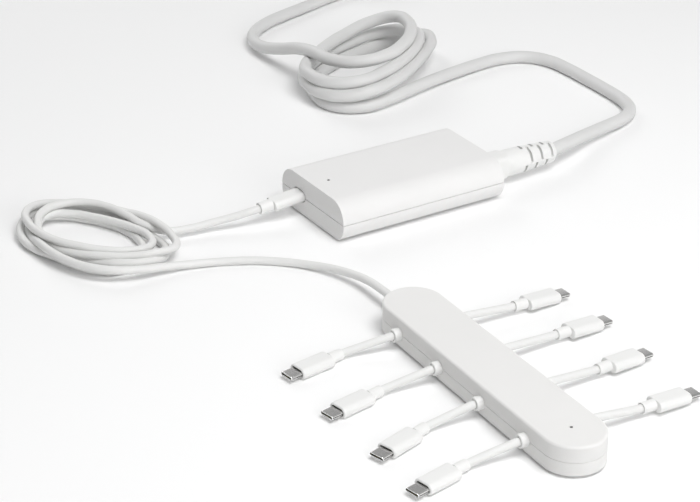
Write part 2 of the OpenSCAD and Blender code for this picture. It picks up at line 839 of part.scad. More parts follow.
module lead_coil() {
    color(soft_white) translate(lead_coil_centre) rotate([0, 0, lead_coil_turn])
        oval_coil(lead_coil_length, lead_coil_width, lead_coil_band, lead_coil_height);
}

module at_lead_plug() {
    translate(lead_plug_back) rotate([0, 0, adapter_turn]) rotate([lead_dip, 0, 0]) children();
}

module lead_plug_body() {
    color(white) at_lead_plug() plug_body(lead_neck_diameter, lead_diameter);
}

module lead_plug_shell() {
    color(steel) at_lead_plug() plug_shell();
}

module mains_cord() {
    color(soft_white) {
        tube(concat([mains_exit], mains_route), mains_diameter, 10, heading(adapter_turn));
        tube(mains_link, mains_diameter, 10);
        tube(
            concat(mains_tail, [mains_plug_back + heading(mains_plug_turn)]),
            mains_diameter, 10, undef, heading(mains_plug_turn)
        );
    }
}

module mains_coil() {
    color(soft_white) translate(mains_coil_centre) rotate([0, 0, mains_coil_turn])
        oval_coil(mains_coil_length, mains_coil_width, mains_coil_band, mains_coil_height);
}

module stowed_coil() {
    edge = mains_diameter / 2;
    color(soft_white) translate(stowed_centre) rotate_extrude() translate([stowed_radius, stowed_low + edge]) {
        square([stowed_band - mains_diameter, mains_diameter], center = true);
        for (side = [-1, 1])
            translate([side * (stowed_band - mains_diameter) / 2, 0]) circle(edge);
    }
}

module stowed_tie() {
    near = sqrt(pow(stowed_radius - stowed_band / 2, 2) - pow(tie_width / 2, 2)) - 0.1;
    far = stowed_radius + stowed_band / 2 + 0.1;
    color(grey) translate(stowed_centre) rotate([0, 0, tie_turn])
        translate([0, tie_width / 2, 0]) rotate([90, 0, 0]) linear_extrude(tie_width) difference() {
            translate([near - tie_thickness, 0])
                square([far - near + 2 * tie_thickness, stowed_top + tie_thickness + 0.1]);
            translate([near, tie_thickness]) square([far - near, stowed_top + 0.1 - tie_thickness]);
        }
}

module mains_plug_body() {
    color(white) translate(mains_plug_back) rotate([0, 0, mains_plug_turn]) difference() {
        union() {
            rotate([-90, 0, 0]) cylinder(d1 = 12, d2 = 14, h = mains_plug_relief);
            translate([0, mains_plug_relief - 2, 0])
                rounded_bar(mains_plug_width - 4, mains_plug_height - 4, 6, 2);
            translate([0, mains_plug_relief, 0])
                rounded_bar(mains_plug_width, mains_plug_height, 7, mains_plug_body);
        }
        for (row = [0:3])
            for (half = [0, 180])
                relief_slot(4 + row * slot_pitch, slot_turn(row) + half, 6 + row * 0.15);
        translate([0, -1, 0]) rotate([-90, 0, 0]) cylinder(d = mains_diameter + 0.8, h = 2);
    }
}

module mains_plug_pins() {
    color(brass) translate(mains_plug_back) rotate([0, 0, mains_plug_turn])
        translate([0, mains_plug_relief + mains_plug_body, 0]) {
            for (side = [-1, 1])
                translate([side * blade_spacing / 2, blade_length / 2, earth_drop / 2 - 2.9])
                    cube([blade_thickness, blade_length, blade_width], center = true);
            translate([0, 0, -earth_drop / 2 - 2.9]) {
                rotate([-90, 0, 0]) cylinder(d = earth_diameter, h = earth_length);
                translate([0, earth_length, 0])
                    rotate([-90, 0, 0]) cylinder(d1 = earth_diameter, d2 = earth_diameter - 2, h = 2);
            }
        }
}

ports = [0:2 * ports_per_side - 1];

hub_top_cover();
hub_bottom_cover();
hub_circuit_board();
hub_inductors();
hub_capacitors();
hub_light_pipe();
hub_screws();
hub_feet();
lead_gland();
for (n = ports) {
    pigtail_gland(n);
    pigtail_cord(n);
    pigtail_plug_body(n);
    pigtail_plug_shell(n);
}
lead_cord();
lead_coil();
lead_plug_body();
lead_plug_shell();
adapter_top_cover();
adapter_bottom_cover();
adapter_board();
adapter_transformer();
adapter_capacitors();
adapter_inlet();
adapter_socket();
adapter_light_pipe();
mains_connector();
mains_cord();
mains_coil();
stowed_coil();
stowed_tie();
mains_plug_body();
mains_plug_pins();
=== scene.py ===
from math import cos, pi, radians, sin

import bmesh
import bpy
from mathutils import Matrix, Vector


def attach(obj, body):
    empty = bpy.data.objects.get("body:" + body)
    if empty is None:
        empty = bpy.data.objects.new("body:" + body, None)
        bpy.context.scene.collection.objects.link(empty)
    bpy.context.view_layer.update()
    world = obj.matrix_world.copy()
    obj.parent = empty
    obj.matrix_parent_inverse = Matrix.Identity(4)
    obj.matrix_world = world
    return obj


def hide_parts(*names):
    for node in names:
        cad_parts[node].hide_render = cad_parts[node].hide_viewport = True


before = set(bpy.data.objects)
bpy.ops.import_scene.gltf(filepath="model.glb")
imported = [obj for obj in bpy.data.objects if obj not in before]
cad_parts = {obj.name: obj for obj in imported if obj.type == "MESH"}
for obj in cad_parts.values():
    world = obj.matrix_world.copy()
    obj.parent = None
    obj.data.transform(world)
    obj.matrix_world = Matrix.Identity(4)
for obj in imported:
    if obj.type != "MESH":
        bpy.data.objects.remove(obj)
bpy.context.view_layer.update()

# ---------------------------------------------------------------------------------------------------
# The photographer's camera: a long lens that looks down on the whole set from the near end of the
# hub, a little to the left of its length.
view_turn, view_rise, view_roll = radians(60.146), radians(27.244), radians(0.187)
view_centre, view_distance = Vector((-0.159306, 0.015198, 0)), 1.156775
look_back = Vector((sin(view_turn) * cos(view_rise), -cos(view_turn) * cos(view_rise), sin(view_rise)))
look_right = (-look_back).cross(Vector((0, 0, 1))).normalized()
look_up = look_right.cross(-look_back)
level_right = look_right * cos(view_roll) + look_up * sin(view_roll)
level_up = look_up * cos(view_roll) - look_right * sin(view_roll)
camera_data = bpy.data.cameras.new("camera")
camera_data.sensor_width = 36
camera_data.lens = 111.02
camera_data.clip_end = 50
camera = bpy.data.objects.new("camera", camera_data)
bpy.context.scene.collection.objects.link(camera)
camera.matrix_world = (
    Matrix.Translation(view_centre + look_back * view_distance)
    @ Matrix((level_right, level_up, look_back)).transposed().to_4x4()
)
bpy.context.scene.camera = camera

# ---------------------------------------------------------------------------------------------------
# Power lead: a round two-core cable in soft white PVC, moulded into the hub's far end. It runs out
# over the table, lies in a loose coil of four and a half turns, and ends in the adapter's plug.
MM = 0.001


def set_inputs(tree, made, inputs):
    """Links a node's inputs to other nodes' outputs, or sets them to values."""
    for socket, source in inputs:
        if isinstance(source, bpy.types.NodeSocket):
            tree.links.new(source, made.inputs[socket])
        else:
            made.inputs[socket].default_value = source
    return made


def add_node(tree, kind, inputs=(), **settings):
    """A new node of a tree, with its settings and its inputs."""
    made = tree.nodes.new(kind)
    for key, value in settings.items():
        setattr(made, key, value)
    return set_inputs(tree, made, inputs)


def new_stuff(name):
    """A new material, its node tree and its shader."""
    stuff = bpy.data.materials.new(name)
    stuff.use_nodes = True
    return stuff, stuff.node_tree, stuff.node_tree.nodes["Principled BSDF"]


def shaded(colour, share):
    """The colour made darker or lighter by a share, with its alpha."""
    return (*[min(1, c * share) for c in colour], 1)


def pvc_jacket(name, colour, grain):
    """Extruded soft PVC: satin, with the die's fine drawn grain and faint handling marks."""
    stuff, tree, shader = new_stuff(name)
    place = add_node(tree, "ShaderNodeTexCoord").outputs["Object"]
    marks = add_node(tree, "ShaderNodeTexNoise", [("Vector", place), ("Scale", 60), ("Detail", 4)]).outputs["Fac"]
    tint = add_node(tree, "ShaderNodeMixRGB", [
        ("Fac", marks), ("Color1", shaded(colour, 0.965)), ("Color2", shaded(colour, 1.02)),
    ])
    sheen = add_node(tree, "ShaderNodeMapRange", [("Value", marks), ("To Min", 0.4), ("To Max", 0.56)])
    drawn = add_node(tree, "ShaderNodeTexNoise", [("Vector", place), ("Scale", grain), ("Detail", 3)])
    relief = add_node(tree, "ShaderNodeBump", [
        ("Height", drawn.outputs["Fac"]), ("Strength", 0.22), ("Distance", 0.00006),
    ])
    set_inputs(tree, shader, [
        ("IOR", 1.48), ("Specular IOR Level", 0.42), ("Base Color", tint.outputs["Color"]),
        ("Roughness", sheen.outputs["Result"]), ("Normal", relief.outputs["Normal"]),
    ])
    return stuff


def laid_cord(name, route, diameter, stuff, resolution=8):
    """A round cable on one smooth line through the route's points, given in millimetres."""
    data = bpy.data.curves.new(name, "CURVE")
    data.dimensions = "3D"
    data.bevel_depth = diameter * MM / 2
    data.bevel_resolution = 6
    data.use_fill_caps = True
    data.resolution_u = resolution
    line = data.splines.new("BEZIER")
    line.bezier_points.add(len(route) - 1)
    for knot, point in zip(line.bezier_points, route):
        knot.co = Vector(point) * MM
        knot.handle_left_type = knot.handle_right_type = "AUTO"
    data.materials.append(stuff)
    cable = bpy.data.objects.new(name, data)
    bpy.context.scene.collection.objects.link(cable)
    return cable


lead_diameter, laid_for, lead_height = 4.4, 4.8, 8.6
lead_route = [
    (-86.5, 0.0, 8.6), (-99.9, 0.1, 8.1), (-113.4, -0.0, 7.0), (-126.6, -2.1, 5.5), (-139.1, -6.7, 4.1),
    (-150.6, -13.5, 3.1), (-160.7, -22.5, 2.5), (-168.9, -33.1, 2.4), (-175.3, -44.9, 2.4),
    (-180.1, -57.5, 2.5), (-183.1, -70.6, 3.3), (-184.2, -83.9, 4.8), (-185.1, -97.2, 6.5),
    (-189.3, -109.9, 7.7), (-198.4, -119.6, 8.0), (-210.2, -126.1, 8.2), (-223.0, -130.1, 8.7),
    (-236.4, -131.2, 8.1), (-249.5, -130.2, 5.4), (-262.3, -126.4, 4.0), (-270.8, -116.5, 3.8),
    (-268.2, -103.7, 2.7), (-259.2, -93.8, 2.4), (-248.2, -86.1, 2.4), (-235.8, -80.9, 2.4),
    (-222.5, -79.7, 2.7), (-209.4, -82.6, 2.9), (-199.0, -90.9, 2.5), (-195.2, -103.5, 2.5),
    (-201.0, -115.4, 3.6), (-212.1, -122.8, 4.2), (-224.6, -127.6, 4.1), (-237.1, -132.7, 3.8),
    (-250.3, -134.5, 4.0), (-263.3, -131.2, 4.3), (-274.0, -123.2, 4.7), (-280.2, -111.4, 4.3),
    (-279.1, -98.2, 3.2), (-271.1, -87.7, 2.5), (-259.6, -80.8, 2.4), (-247.0, -76.1, 2.4),
    (-233.8, -73.1, 2.4), (-220.5, -71.2, 2.5), (-207.1, -71.1, 2.9), (-195.7, -77.6, 3.8),
    (-192.0, -90.0, 6.1), (-196.8, -102.3, 6.4), (-206.9, -110.5, 3.8), (-219.2, -116.0, 3.7),
    (-231.7, -121.0, 3.8), (-244.8, -124.2, 3.8), (-258.0, -123.3, 5.5), (-266.8, -114.2, 7.0),
    (-263.1, -101.6, 6.7), (-253.4, -92.4, 6.5), (-242.0, -85.3, 6.9), (-229.9, -79.5, 7.1),
    (-216.9, -76.1, 6.9), (-205.3, -81.1, 7.2), (-205.0, -94.2, 8.2), (-210.5, -106.4, 9.4),
    (-218.9, -116.7, 10.8), (-229.7, -124.7, 11.3), (-242.5, -128.8, 11.6), (-255.9, -129.2, 11.4),
    (-268.7, -125.5, 10.9), (-277.2, -115.6, 9.6), (-276.2, -102.5, 7.9), (-269.2, -91.1, 7.1),
    (-259.0, -82.4, 7.4), (-247.2, -76.1, 8.4), (-234.7, -71.5, 10.2), (-221.6, -68.5, 10.9),
    (-208.4, -66.8, 9.4), (-196.0, -70.6, 8.5), (-194.2, -83.5, 8.9), (-198.6, -96.1, 8.1),
    (-205.5, -107.7, 8.2), (-214.9, -117.2, 7.4), (-226.7, -123.6, 6.6), (-239.8, -126.3, 7.3),
    (-252.9, -125.0, 9.3), (-263.9, -117.9, 11.4), (-267.6, -105.2, 11.8), (-263.6, -92.6, 11.4),
    (-253.7, -83.7, 10.9), (-241.3, -78.6, 10.1), (-229.0, -73.6, 8.0), (-220.1, -64.0, 5.5),
    (-217.4, -51.0, 5.1), (-215.8, -37.6, 5.8), (-213.0, -25.5, 7.6), (-211.3, -17.5, 9.2),
    (-211.1, -11.7, 9.8),
]

# The heights between the lead's two ends were laid for a thicker cable, so they shrink with it.
lead_route = [
    (x, y, z if number < 5 or number > len(lead_route) - 5 else z * lead_diameter / laid_for)
    for number, (x, y, z) in enumerate(lead_route)
]
jacket = pvc_jacket("soft_pvc_jacket", (0.77, 0.77, 0.76), 2600)
lead = laid_cord("power_lead", lead_route, lead_diameter, jacket)
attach(lead, "root")
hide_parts("lead_cord", "lead_coil")

# ---------------------------------------------------------------------------------------------------
# Mains cord: a thick round three-core cable in the same white PVC, its colour painted a little darker than the lead's
# as painted shade. It leaves the adapter's connector, lies in a loose coil, and its last half metre is wound flat and
# tied, out of the camera's view.
mains_diameter = 7.8
stowed_centre, stowed_height, outer_turn, inner_turn = Vector((-541, 220, 0)), 4.8, 45.9, 38.1


def stowed_point(turn, radius, height=stowed_height):
    """A point of the stowed coil, by its turn round the coil's middle in degrees."""
    centre = stowed_centre
    return (centre.x + radius * cos(radians(turn)), centre.y + radius * sin(radians(turn)), height)


mains_route = [
    (-192.9, 166.8, 11.2), (-198.8, 183.6, 10.3), (-206.6, 199.6, 7.9), (-213.8, 216.0, 5.8),
    (-218.8, 230.5, 4.8), (-221.9, 238.9, 4.3), (-226.0, 246.5, 4.0), (-232.0, 253.3, 3.9),
    (-240.5, 257.2, 3.9), (-251.5, 258.9, 3.9), (-267.0, 259.2, 3.9), (-285.0, 258.8, 3.9),
    (-303.0, 258.0, 3.9), (-320.5, 255.3, 3.9), (-334.0, 246.0, 3.9), (-339.8, 229.5, 3.9),
    (-338.3, 211.5, 4.1), (-334.3, 193.0, 4.5), (-328.0, 168.7, 4.9), (-322.4, 150.7, 5.0),
    (-316.8, 132.7, 5.0), (-315.4, 114.0, 4.3), (-326.4, 99.6, 3.9), (-344.9, 97.6, 3.9),
    (-362.2, 104.8, 3.9), (-376.0, 117.6, 3.9), (-385.7, 133.7, 3.9), (-392.7, 151.2, 3.9),
    (-398.1, 169.3, 3.9), (-399.4, 188.0, 5.2), (-387.1, 199.6, 10.3), (-369.4, 195.2, 13.3),
    (-354.7, 183.5, 14.5), (-341.8, 169.7, 14.8), (-330.3, 154.8, 14.8), (-319.9, 139.0, 15.2),
    (-313.6, 121.4, 14.8), (-318.4, 103.8, 12.3), (-334.2, 94.3, 11.0), (-352.8, 95.1, 10.1),
    (-369.8, 102.9, 8.5), (-382.5, 116.7, 9.1), (-391.2, 133.4, 9.8), (-397.8, 151.1, 10.1),
    (-400.5, 169.6, 11.6), (-390.8, 184.4, 15.3), (-372.9, 186.1, 19.0), (-356.3, 177.6, 21.0),
    (-342.5, 164.8, 21.5), (-331.2, 149.7, 21.4), (-322.4, 133.0, 21.1), (-319.1, 114.7, 19.8),
    (-328.7, 99.1, 18.4), (-346.5, 93.9, 18.2), (-363.9, 100.3, 16.7), (-376.8, 113.8, 15.8),
    (-386.9, 129.7, 17.0), (-394.7, 146.9, 18.2), (-397.4, 165.0, 21.5), (-386.3, 178.0, 27.1),
    (-367.9, 177.3, 29.2), (-351.2, 168.6, 29.3), (-338.0, 155.2, 29.0), (-330.0, 138.3, 28.0),
    (-332.8, 120.3, 26.2), (-347.8, 109.7, 24.4), (-366.5, 107.4, 23.4), (-384.9, 106.5, 19.5),
    (-402.7, 104.2, 13.6), (-420.7, 101.7, 8.6), (-439.2, 103.4, 5.8), (-455.8, 112.0, 4.8),
    (-467.5, 126.6, 4.5), (-475.0, 143.9, 4.4), (-481.5, 161.7, 4.1), (-487.9, 179.4, 4.0),
    (-492.2, 193.0, 4.3), (-494.8, 206.5, 4.8),
]

# Two flat turns, the outer and then the inner, and then the rise to the plug that lies on them.
mains_route += [stowed_point(turn, outer_turn) for turn in range(0, 311, 22)]
mains_route += [stowed_point(turn, outer_turn - (turn - 308) / 57 * mains_diameter) for turn in (330, 347)]
mains_route += [stowed_point(turn, inner_turn) for turn in range(366, 640, 24)]
mains_route += [
    stowed_point(*rise) for rise in (
        (652, 36.6, 6.6), (668, 35.2, 9.6), (684, 34.6, 12.8), (702, 34.8, 16.2), (721, 35, 19.4), (738, 32.6, 21.2),
    )
]
mains_route += [(-514.6, 232.5, 21.7), (-520.9, 236.1, 21.7)]
# The same PVC as the lead, with its colour set darker: painted shade.
mains_jacket_painted_darker = pvc_jacket("mains_pvc_painted_darker", (0.695, 0.695, 0.69), 2200)
mains = laid_cord("mains_cord_laid", mains_route, mains_diameter, mains_jacket_painted_darker)
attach(mains, "root")
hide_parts("mains_cord", "mains_coil", "stowed_coil")

# ---------------------------------------------------------------------------------------------------
# Captive cables: eight thin limp cables, four from each side of the hub. Each leaves a moulded collar,
# sinks to the table in a slack curve and ends in its plug.
pigtail_diameter = 4.2
port_xs, port_pitch, port_height = (-56.7, -19.7, 17.3, 54.3), 37, 7.9
collar_reach, in_collar = 18.6, 2.4

# How each plug lies: the back of its neck in millimetres, then its turn and its dip in degrees.
plug_lies = [
    (-61.4, -46, 2.95, -170, 0), (-21.8, -47, 2.95, -168, 0), (16.6, -45.6, 2.95, -162, 0),
    (52.2, -46, 2.95, -167, 0), (-57.2, 52, 5, 4, 3.5), (-22.6, 54.2, 5, 5, 3.5),
    (15.2, 51.9, 5, 7, 3.5), (54.6, 48.8, 5, 3.5, 3.5),
]


def plug_way(turn, dip):
    """The way a plug points, as a vector of length one."""
    turn, dip = radians(turn), radians(dip)
    return Vector((-sin(turn) * cos(dip), cos(turn) * cos(dip), -sin(dip)))


for number, (x, y, z, turn, dip) in enumerate(plug_lies):
    side = -1 if number < 4 else 1
    mouth = Vector((port_xs[number % 4], side * collar_reach, port_height))
    neck = Vector((x, y, z)) + 0.8 * plug_way(turn, dip)
    first, second = mouth + Vector((0, side * 4, 0)), neck - 4 * plug_way(turn, dip)
    slack = [
        (1 - t) ** 3 * mouth + 3 * t * (1 - t) ** 2 * first + 3 * t * t * (1 - t) * second + t ** 3 * neck
        for t in (i / 15 for i in range(16))
    ]
    inside = mouth - Vector((0, side * in_collar, 0))
    cable = laid_cord(f"captive_cable_{number + 1}", [inside] + slack, pigtail_diameter, jacket, 4)
    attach(cable, "root")
    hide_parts(f"pigtail_cord_{number + 1}")

# ---------------------------------------------------------------------------------------------------
# USB-C plugs: each has a satin white moulded body with a stepped round neck, and a drawn nickel-plated
# shell with the contact tongue inside. Eight end the captive cables, and one is in the adapter.


def flat_oval(width, height, ends=24):
    """A flat oval's points, from its right end round, as (across, up) pairs in millimetres."""
    radius, reach = height / 2, (width - height) / 2
    turns = [-pi / 2 + pi * i / ends for i in range(ends + 1)]
    right = [(reach + radius * cos(t), radius * sin(t)) for t in turns]
    return right + [(-x, -y) for x, y in right]


def skinned(name, rings, stuffs, closed=False, crease=32):
    """A mesh through rings of equally many points; its two ends are capped, or joined if it is closed."""
    mesh = bpy.data.meshes.new(name)
    made = bmesh.new()
    rows = [[made.verts.new(Vector(p) * MM) for p in ring] for ring in rings]
    around = len(rows[0])
    pairs = list(zip(rows, rows[1:])) + ([(rows[-1], rows[0])] if closed else [])
    for low, high in pairs:
        for i in range(around):
            made.faces.new((low[i], low[(i + 1) % around], high[(i + 1) % around], high[i]))
    if not closed:
        made.faces.new(list(reversed(rows[0])))
        made.faces.new(rows[-1])
    bmesh.ops.remove_doubles(made, verts=made.verts, dist=2e-6)
    bmesh.ops.recalc_face_normals(made, faces=made.faces)
    made.to_mesh(mesh)
    made.free()
    for stuff in stuffs:
        mesh.materials.append(stuff)
    mesh.shade_smooth()
    mesh.set_sharp_from_angle(angle=radians(crease))
    piece = bpy.data.objects.new(name, mesh)
    bpy.context.scene.collection.objects.link(piece)
    return piece


def settled(piece, matrix=None):
    """The piece with its modifiers and its place both taken into its mesh."""
    graph = bpy.context.evaluated_depsgraph_get()
    mesh = bpy.data.meshes.new_from_object(piece.evaluated_get(graph))
    piece.modifiers.clear()
    piece.data = mesh
    if matrix is not None:
        mesh.transform(matrix)
    piece.matrix_world = Matrix.Identity(4)
    return piece


def moulded_plastic(name, colour, low, high, grain, depth):
    """Injection-moulded plastic with a spark-eroded fine matte, a little uneven in sheen."""
    stuff, tree, shader = new_stuff(name)
    place = add_node(tree, "ShaderNodeTexCoord").outputs["Object"]
    cloud = add_node(tree, "ShaderNodeTexNoise", [
        ("Vector", place), ("Scale", 32), ("Detail", 3), ("Roughness", 0.6),
    ]).outputs["Fac"]
    tint = add_node(tree, "ShaderNodeMixRGB", [
        ("Fac", cloud), ("Color1", shaded(colour, 0.975)), ("Color2", shaded(colour, 1.015)),
    ])
    sheen = add_node(tree, "ShaderNodeMapRange", [("Value", cloud), ("To Min", low), ("To Max", high)])
    eroded = add_node(tree, "ShaderNodeTexVoronoi", [("Vector", place), ("Scale", grain)])
    speck = add_node(tree, "ShaderNodeTexNoise", [("Vector", place), ("Scale", grain * 0.7), ("Detail", 2)])
    mixed = add_node(tree, "ShaderNodeMath", [
        (0, eroded.outputs["Distance"]), (1, speck.outputs["Fac"]),
    ], operation="ADD")
    relief = add_node(tree, "ShaderNodeBump", [
        ("Height", mixed.outputs[0]), ("Strength", 0.35), ("Distance", depth),
    ])
    set_inputs(tree, shader, [
        ("IOR", 1.5), ("Specular IOR Level", 0.4), ("Base Color", tint.outputs["Color"]),
        ("Roughness", sheen.outputs["Result"]), ("Normal", relief.outputs["Normal"]),
    ])
    return stuff


def worked_metal(name, colour, low, high, scale):
    """Sheet or turned metal, a little uneven from its drawing, stamping or turning."""
    stuff, tree, shader = new_stuff(name)
    place = add_node(tree, "ShaderNodeTexCoord").outputs["Object"]
    uneven = add_node(tree, "ShaderNodeTexNoise", [("Vector", place), ("Scale", scale), ("Detail", 4)]).outputs["Fac"]
    sheen = add_node(tree, "ShaderNodeMapRange", [("Value", uneven), ("To Min", low), ("To Max", high)])
    tint = add_node(tree, "ShaderNodeMixRGB", [
        ("Fac", uneven), ("Color1", shaded(colour, 0.9)), ("Color2", shaded(colour, 1)),
    ])
    relief = add_node(tree, "ShaderNodeBump", [("Height", uneven), ("Strength", 0.12), ("Distance", 0.00003)])
    set_inputs(tree, shader, [
        ("Metallic", 1), ("Base Color", tint.outputs["Color"]), ("Roughness", sheen.outputs["Result"]),
        ("Normal", relief.outputs["Normal"]),
    ])
    return stuff


plug_width, plug_thickness, plug_length = 11.2, 5.8, 19.5
neck_diameter, neck_length = 5.7, 7.7
shell_width, shell_thickness, shell_length = 8.25, 2.4, 6.65
plug_white = moulded_plastic("plug_satin_white", (0.82, 0.82, 0.81), 0.34, 0.46, 5200, 0.00002)
shell_nickel = worked_metal("plated_nickel", (0.86, 0.855, 0.845), 0.16, 0.26, 900)
contact_gold = worked_metal("contact_gold", (0.83, 0.64, 0.3), 0.25, 0.35, 1500)
# Black for the back wall of the contact cavity, and also painted shade on the floors of the shell's side grooves and
# in the gap at its root.
black_and_painted_shade = moulded_plastic("black_and_painted_shade", (0.02, 0.02, 0.02), 0.4, 0.5, 5000, 0.00002)
insert_white = moulded_plastic("insert_white", (0.85, 0.85, 0.84), 0.4, 0.5, 5000, 0.00002)


def plug_body(name, neck, bore):
    """The moulded body along +Y, from the back of its neck at the origin to the opening for its shell."""
    def ring(width, height, y):
        return [(x, y, z) for x, z in flat_oval(width, height)]

    front = neck_length + plug_length
    rings = [ring(bore, bore, 0.8), ring(bore, bore, 0.1), ring(bore + 0.2, bore + 0.2, 0)]
    rings += [ring(neck - 0.3, neck - 0.3, 0), ring(neck - 0.08, neck - 0.08, 0.06), ring(neck, neck, 0.2)]
    rings += [ring(neck, neck, neck_length - 0.25), ring(neck + 0.12, neck + 0.12, neck_length - 0.06)]
    rings += [
        ring(plug_width - 2 * inset, plug_thickness - 2 * inset, neck_length + y)
        for inset, y in ((0.7, 0), (0.4, 0.04), (0.17, 0.17), (0.05, 0.4), (0, 0.8))
    ]
    rings += [
        ring(plug_width - 2 * inset, plug_thickness - 2 * inset, front - y)
        for inset, y in ((0, 0.95), (0.06, 0.6), (0.2, 0.3), (0.42, 0.1), (0.7, 0))
    ]
    rings += [ring(8.75, 3.95, front), ring(8.6, 3.8, front - 0.1)]
    rings += [ring(8.55, 3.75, front - 1.2), ring(8.4, 2.55, front - 3)]
    return skinned(name, rings, [plug_white])


def plug_shell(name):
    """The drawn shell along +Y, its rolled mouth, and inside it the tongue with two rows of contacts."""
    def ring(inset, y, groove=0):
        oval = flat_oval(shell_width - 2 * inset, shell_thickness - 2 * inset, 32)
        return [(x * (1 - groove / 4.1 if abs(z) < 0.15 else 1), y, z) for x, z in oval]

    root, mouth = neck_length + plug_length - 3, neck_length + plug_length + shell_length
    rings = [ring(0, root, 0.24), ring(0, mouth - 0.75, 0.24), ring(0, mouth - 0.6), ring(0, mouth - 0.3)]
    rings += [ring(0.04, mouth - 0.1), ring(0.13, mouth), ring(0.2, mouth)]
    rings += [ring(0.27, mouth - 0.1), ring(0.3, mouth - 0.3), ring(0.3, mouth - 5.6)]
    shell = skinned(name, rings, [shell_nickel, black_and_painted_shade, contact_gold, insert_white])
    black, gold, white = 1, 2, 3

    # The floor of the groove down each side of the shell gets the black material: painted shade.
    for face in shell.data.polygons:
        x, y, z = face.center / MM
        if 3.7 < abs(x) < 4.12 and abs(z) < 0.2 and y < mouth - 0.7:
            face.material_index = black
    made = bmesh.new()
    made.from_mesh(shell.data)

    def block(centre, size, stuff, chamfer=0):
        """One of the tongue's blocks, of the material with this number."""
        new = bmesh.ops.create_cube(made, size=1)["verts"]
        for v in new:
            v.co = Vector([centre[k] + v.co[k] * size[k] for k in range(3)]) * MM
        edges = list({e for v in new for e in v.link_edges})
        faces = {f for v in new for f in v.link_faces}
        if chamfer:
            out = bmesh.ops.bevel(made, geom=edges, offset=chamfer * MM, segments=2, affect="EDGES")
            faces = {f for f in faces if f.is_valid} | set(out["faces"])
        for f in faces:
            f.material_index = stuff

    # A black ring in the gap between the shell and the body's opening: painted shade.
    painted_gap_shade = [
        (8.27, 2.42, root), (8.35, 2.5, root), (8.5, 3.7, root + 1.9), (8.5, 3.7, root + 2.5),
        (8.27, 2.42, root + 2.5),
    ]
    rows_of = [[made.verts.new(Vector((x, y, z)) * MM) for x, z in flat_oval(w, h, 16)] for w, h, y in painted_gap_shade]
    for low, high in zip(rows_of, rows_of[1:] + rows_of[:1]):
        for i in range(len(low)):
            turned = (i + 1) % len(low)
            made.faces.new((low[i], low[turned], high[turned], high[i])).material_index = black
    for side in (-1, 1):
        block((0, mouth - 2.84, side * 0.72), (6.9, 5.4, 0.36), white, 0.05)
        for place in range(12):
            block((-2.75 + place * 0.5, mouth - 3.5, side * 0.51), (0.24, 3, 0.08), gold)
    block((0, mouth - 5.2, 0), (6.9, 0.5, 1.2), black)
    made.to_mesh(shell.data)
    made.free()
    return shell


for number, (x, y, z, turn, dip) in enumerate(plug_lies):
    place = Matrix.Translation(Vector((x, y, z)) * MM) @ Matrix.Rotation(radians(turn), 4, "Z")
    place = place @ Matrix.Rotation(radians(-dip), 4, "X")
    body = settled(plug_body(f"plug_body_{number + 1}", neck_diameter, pigtail_diameter + 0.4), place)
    shell = settled(plug_shell(f"plug_shell_{number + 1}"), place)
    for piece, slot, node in ((body, "plug_white", "body"), (shell, "shell_nickel", "shell")):
        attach(piece, "root")
        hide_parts(f"pigtail_plug_{node}_{number + 1}")
    side = -1 if number < 4 else 1

adapter_place, adapter_turn = Vector((-200.7, 66.6, 0)), radians(2.2)
adapter_frame = Matrix.Translation(adapter_place * MM) @ Matrix.Rotation(adapter_turn, 4, "Z")
adapter_end = 52.8
socket_place, plug_seat, lead_dip, lead_neck = (-13.4, -adapter_end, 11.82), 1.3, 4.5, 6.8
lead_plug_place = adapter_frame @ Matrix.Translation(Vector(socket_place) * MM) @ (
    Matrix.Rotation(radians(lead_dip), 4, "X")
    @ Matrix.Translation(Vector((0, plug_seat - plug_length - neck_length, 0)) * MM)
)
lead_plug = settled(plug_body("lead_plug", lead_neck, lead_diameter + 0.4), lead_plug_place)
lead_shell = settled(plug_shell("lead_shell"), lead_plug_place)
for piece, slot, node in (
    (lead_plug, "plug_white", "lead_plug_body"), (lead_shell, "shell_nickel", "lead_plug_shell"),
):
    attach(piece, "root")
    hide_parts(node)

# ---------------------------------------------------------------------------------------------------
# Hub housing: two covers in matte white ABS that close on a lip half way up, with a thin shadow joint
# between them. Its ends are half round, its top edge is eased, and it stands on three low feet.
hub_length, hub_width, hub_height, hub_seam, hub_floor = 169, 31.6, 16.6, 8.4, 0.5
hub_white = moulded_plastic("hub_matte_white", (0.785, 0.78, 0.77), 0.48, 0.62, 3400, 0.00004)


def hub_ring(inset, z):
    """The hub's outline at one height, set in from its full size."""
    return [(x, y, z) for x, y in flat_oval(hub_length - 2 * inset, hub_width - 2 * inset, 64)]


def cut_out(piece, cutters):
    """Cuts closed meshes out of a piece, as the mould's cores do, and takes the result into its mesh."""
    for cutter in cutters:
        cut = piece.modifiers.new("cut", "BOOLEAN")
        cut.operation = "DIFFERENCE"
        cut.solver = "EXACT"
        cut.object = cutter
    settled(piece)
    for cutter in cutters:
        bpy.data.objects.remove(cutter)
    piece.data.set_sharp_from_angle(angle=radians(32))
    return piece


def peg(name, x, y, low, high, radius, sides=32):
    """A plain round core for a hole."""
    turns = [2 * pi * i / sides for i in range(sides)]
    circle = [(x + radius * cos(t), y + radius * sin(t)) for t in turns]
    return skinned(name, [[(px, py, z) for px, py in circle] for z in (low, high)], [])


edge_round, light_inset, light_hole, foot_inset, foot_hole = 1.3, 17.5, 0.85, 7.8, 4.55
eased = [
    (edge_round * (1 - sin(radians(a))), hub_height - edge_round * (1 - cos(radians(a)))) for a in range(90, -1, -15)
]

